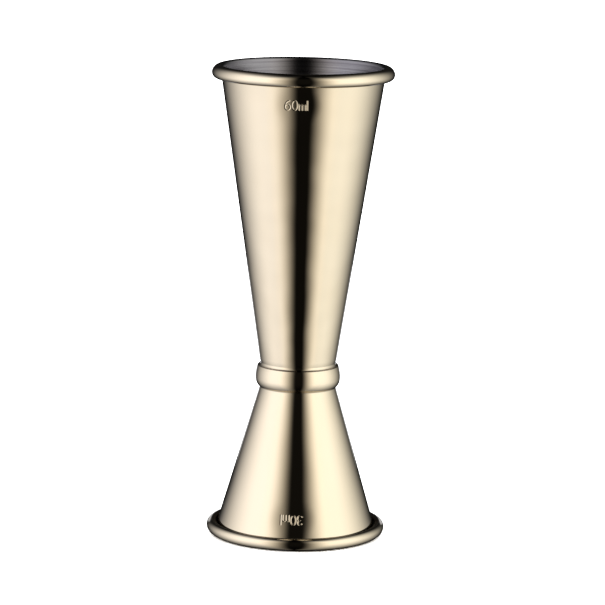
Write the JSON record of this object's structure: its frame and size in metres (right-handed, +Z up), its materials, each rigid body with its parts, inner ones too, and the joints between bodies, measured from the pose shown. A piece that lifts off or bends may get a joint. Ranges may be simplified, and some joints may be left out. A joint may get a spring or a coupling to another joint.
{
  "type": "bar jigger",
  "caption": "Double-ended spirit measure: a large and a small conical cup with rolled rims, joined base to base inside a barrel-shaped waist collar.",
  "frame": {"origin": "centre of the plane that the small cup's rim rests on, on the turning axis", "axes": "+Z up along the turning axis, from the small cup to the large cup's mouth; X and Y are any two level directions, because the part is turned"},
  "size_m": [0.048, 0.048, 0.1252],
  "materials": {
    "polished_gold": "polished",
    "silver_solder": "satin"
  },
  "bodies": {
    "root": {"large_cup": "polished_gold", "small_cup": "polished_gold", "waist_collar": "polished_gold", "centre_solder": "silver_solder", "upper_solder_ring": "silver_solder", "lower_solder_ring": "silver_solder"}
  },
  "joints": []
}
